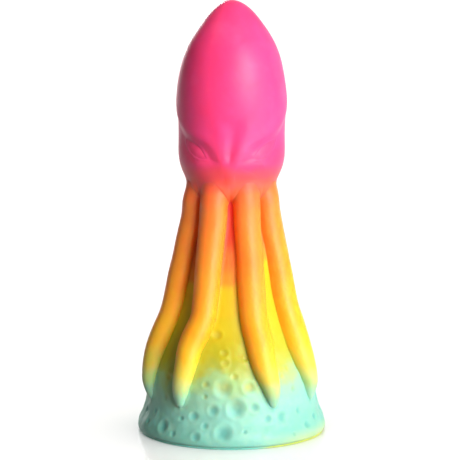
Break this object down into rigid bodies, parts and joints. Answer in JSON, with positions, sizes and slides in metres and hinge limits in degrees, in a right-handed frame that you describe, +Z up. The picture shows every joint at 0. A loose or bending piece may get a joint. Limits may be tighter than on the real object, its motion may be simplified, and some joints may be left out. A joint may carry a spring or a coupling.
{
  "type": "silicone octopus figure",
  "caption": "Octopus-shaped soft silicone adult novelty: smooth pointed mantle with a stern face, draped arms and a flared, cratered rock base that stands flat.",
  "frame": {"origin": "centre of the ring that the figure stands on, at the floor", "axes": "+Z up through the tip of the mantle; the face looks along -Y; +X is the viewer's right from the front"},
  "size_m": [0.094, 0.094, 0.214],
  "materials": {
    "mantle": "satin hot-pink silicone, shading to coral at the neck",
    "eye": "satin pink silicone, as the mantle",
    "arm": "satin silicone, shading from orange at the root through yellow to a pale teal tip",
    "core": "satin silicone, red-orange under the mantle and yellow below",
    "rock": "satin pale-teal silicone, yellow-green towards the top",
    "foot": "satin yellow-green silicone"
  },
  "bodies": {
    "root": {"mantle": "mantle", "left_eye": "eye", "right_eye": "eye", "left_arm_1": "arm", "left_arm_2": "arm", "left_arm_3": "arm", "left_arm_4": "arm", "right_arm_1": "arm", "right_arm_2": "arm", "right_arm_3": "arm", "right_arm_4": "arm", "core": "core", "rock_mound": "rock", "suction_foot": "foot"}
  },
  "joints": []
}
